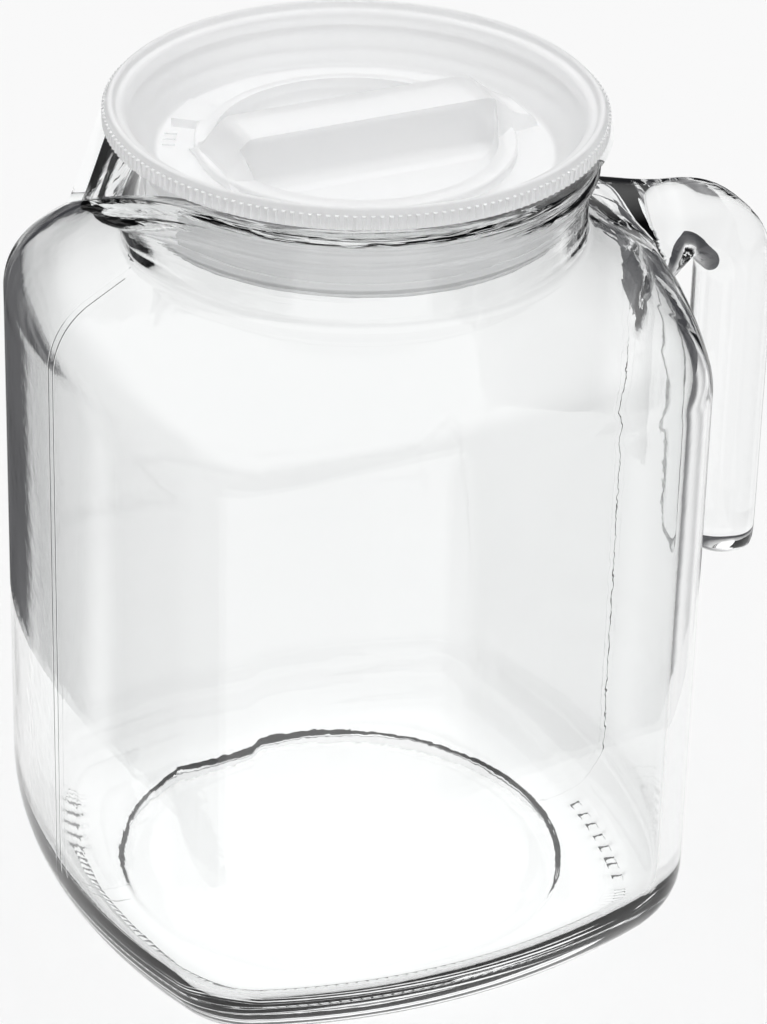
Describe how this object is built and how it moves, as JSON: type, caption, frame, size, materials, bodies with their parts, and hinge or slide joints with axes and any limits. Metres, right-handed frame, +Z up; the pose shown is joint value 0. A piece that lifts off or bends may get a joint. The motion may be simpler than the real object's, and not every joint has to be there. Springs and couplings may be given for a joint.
{
  "type": "water jug",
  "caption": "Rounded-square clear glass water jug with pouring lip, open hook handle and a frosted push-in lid with a turning pour dial.",
  "frame": {"origin": "centre of the bounding box on the table plane; the jug's own axis is the vertical line at x = -15.3 mm, y = 0", "axes": "+Z up, -X towards the pouring lip, +X towards the handle"},
  "size_m": [0.1642, 0.1336, 0.1856],
  "materials": {
    "clear_glass": "fire-polished clear soda-lime glass",
    "frosted_cover": "translucent milky moulding, soft satin",
    "seal_rubber": "translucent soft moulded ring",
    "frosted_dial": "translucent milky moulding, soft satin"
  },
  "bodies": {
    "jug": {"glass_jug": "clear_glass"},
    "cover": {"lid_cover": "frosted_cover", "seal_ring": "seal_rubber"},
    "dial": {"pour_dial": "frosted_dial"}
  },
  "joints": [
    {"name": "lid_lift", "type": "slide", "parent": "jug", "child": "cover", "axis": [0, 0, 1], "range_m": [0, 0.05]},
    {"name": "dial_turn", "type": "hinge", "parent": "cover", "child": "dial", "pos_m": [-0.0153, 0, 0.175], "axis": [0, 0, 1], "range_deg": [0, 90]}
  ]
}
